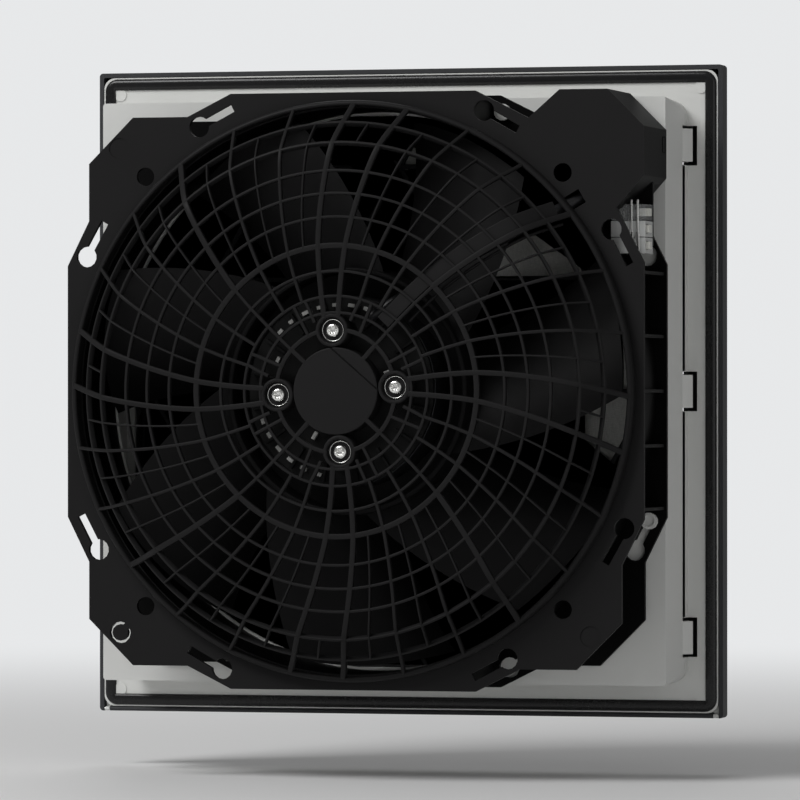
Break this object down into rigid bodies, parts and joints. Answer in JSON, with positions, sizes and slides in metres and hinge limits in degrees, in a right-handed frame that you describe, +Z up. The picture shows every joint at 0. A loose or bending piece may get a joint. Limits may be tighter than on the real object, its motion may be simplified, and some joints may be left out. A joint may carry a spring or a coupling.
{
  "type": "enclosure filter fan",
  "caption": "Square filter fan for an enclosure wall: louvred cover, snap-in tray with seal and filter, and a diagonal fan with a domed finger guard and a corner terminal box.",
  "frame": {"origin": "centre of the wall cut-out, in the plane of the wall's outer face where the seal lands", "axes": "+X to the right and +Z up as seen from inside the enclosure, +Y out of the enclosure along the fan's axis"},
  "size_m": [0.323, 0.1555, 0.323],
  "materials": {
    "charcoal_plastic": "fine matt",
    "light_grey_plastic": "fine matt",
    "black_plastic": "satin",
    "seal_rubber": "glossy",
    "filter_fleece": "fleece",
    "grid_plastic": "matt",
    "zinc_steel": "zinc plated",
    "dark_steel": "phosphated",
    "cast_black": "matt",
    "copper_enamel": "enamelled",
    "core_steel": "laminated",
    "lead_sheath": "satin",
    "clear_plastic": "clear",
    "button_plastic": "satin"
  },
  "bodies": {
    "frame_unit": {"mounting_frame": "light_grey_plastic", "panel_seal": "seal_rubber", "filter_mat": "filter_fleece", "filter_support_grid": "grid_plastic", "hinge_brackets": "light_grey_plastic", "hinge_pins": "zinc_steel"},
    "cover": {"front_cover": "charcoal_plastic"},
    "fan_unit": {"fan_housing": "black_plastic", "finger_guard": "black_plastic", "guard_screws": "zinc_steel", "hub_cap": "black_plastic", "cable_duct": "black_plastic", "motor_lead": "lead_sheath", "motor_flange": "cast_black", "bearings": "zinc_steel", "stator_core": "core_steel", "stator_windings": "copper_enamel", "terminal_box": "black_plastic", "terminal_box_lid": "black_plastic", "terminal_block": "clear_plastic", "terminal_contacts": "zinc_steel"},
    "rotor": {"impeller": "black_plastic", "rotor_cup": "dark_steel", "shaft": "zinc_steel"},
    "release_1": {"release_button_1": "button_plastic"},
    "release_2": {"release_button_2": "button_plastic"},
    "release_3": {"release_button_3": "button_plastic"}
  },
  "joints": [
    {"name": "cover_hinge", "type": "hinge", "parent": "frame_unit", "child": "cover", "pos_m": [0, 0.0027, -0.1604], "axis": [1, 0, 0], "range_deg": [-90, 0]},
    {"name": "fan_twist", "type": "hinge", "parent": "frame_unit", "child": "fan_unit", "pos_m": [0, 0, 0], "axis": [0, -1, 0], "range_deg": [0, 6.2]},
    {"name": "impeller_spin", "type": "hinge", "parent": "fan_unit", "child": "rotor", "pos_m": [0, -0.1, 0], "axis": [0, 1, 0], "continuous": true},
    {"name": "release_press_1", "type": "slide", "parent": "fan_unit", "child": "release_1", "axis": [-1, 0, 0], "range_m": [0, 0.0012], "stiffness_N_per_m": 600, "springref_m": -0.0005},
    {"name": "release_press_2", "type": "slide", "parent": "fan_unit", "child": "release_2", "axis": [-1, 0, 0], "range_m": [0, 0.0012], "stiffness_N_per_m": 600, "springref_m": -0.0005},
    {"name": "release_press_3", "type": "slide", "parent": "fan_unit", "child": "release_3", "axis": [-1, 0, 0], "range_m": [0, 0.0012], "stiffness_N_per_m": 600, "springref_m": -0.0005}
  ]
}
